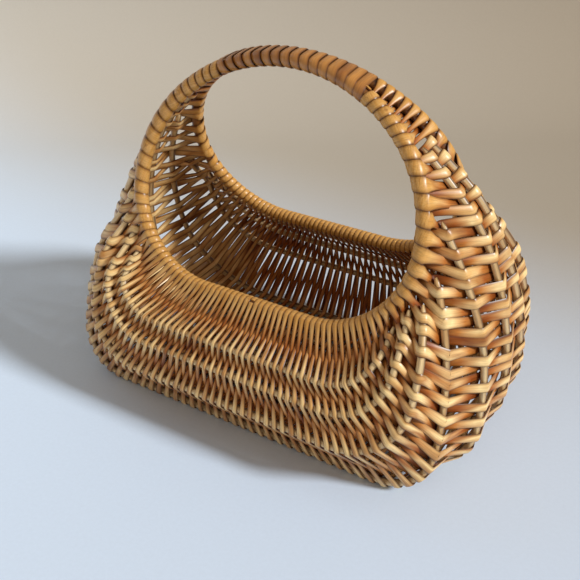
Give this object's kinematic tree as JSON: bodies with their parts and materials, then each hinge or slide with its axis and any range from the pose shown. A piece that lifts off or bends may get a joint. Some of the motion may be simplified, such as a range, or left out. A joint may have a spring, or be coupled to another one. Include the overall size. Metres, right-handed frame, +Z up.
{
  "type": "wicker market basket",
  "caption": "Oval wicker market basket: rounded woven willow body on bent ribs, between rim hoops that rise at the ends and join in one arched wrapped handle.",
  "frame": {"origin": "middle of the underside, on the surface the basket stands on", "axes": "+Z up to the handle, +X along the basket and the handle arch, +Y towards the back wall"},
  "size_m": [0.3152, 0.196, 0.2522],
  "materials": {
    "rim_rod": "varnished willow rod",
    "rib_rod": "pale peeled willow rod",
    "strand": "split willow strand, light varnish",
    "handle_strand": "split willow strand, varnished"
  },
  "bodies": {
    "root": {"front_rim": "rim_rod", "back_rim": "rim_rod", "middle_rib": "rib_rod", "front_rib_1": "rib_rod", "front_rib_2": "rib_rod", "front_rib_3": "rib_rod", "front_rib_4": "rib_rod", "front_rib_5": "rib_rod", "back_rib_1": "rib_rod", "back_rib_2": "rib_rod", "back_rib_3": "rib_rod", "back_rib_4": "rib_rod", "back_rib_5": "rib_rod", "upper_weave_right": "strand", "lower_weave_right": "strand", "upper_weave_left": "strand", "lower_weave_left": "strand", "handle_wrap": "handle_strand"}
  },
  "joints": []
}
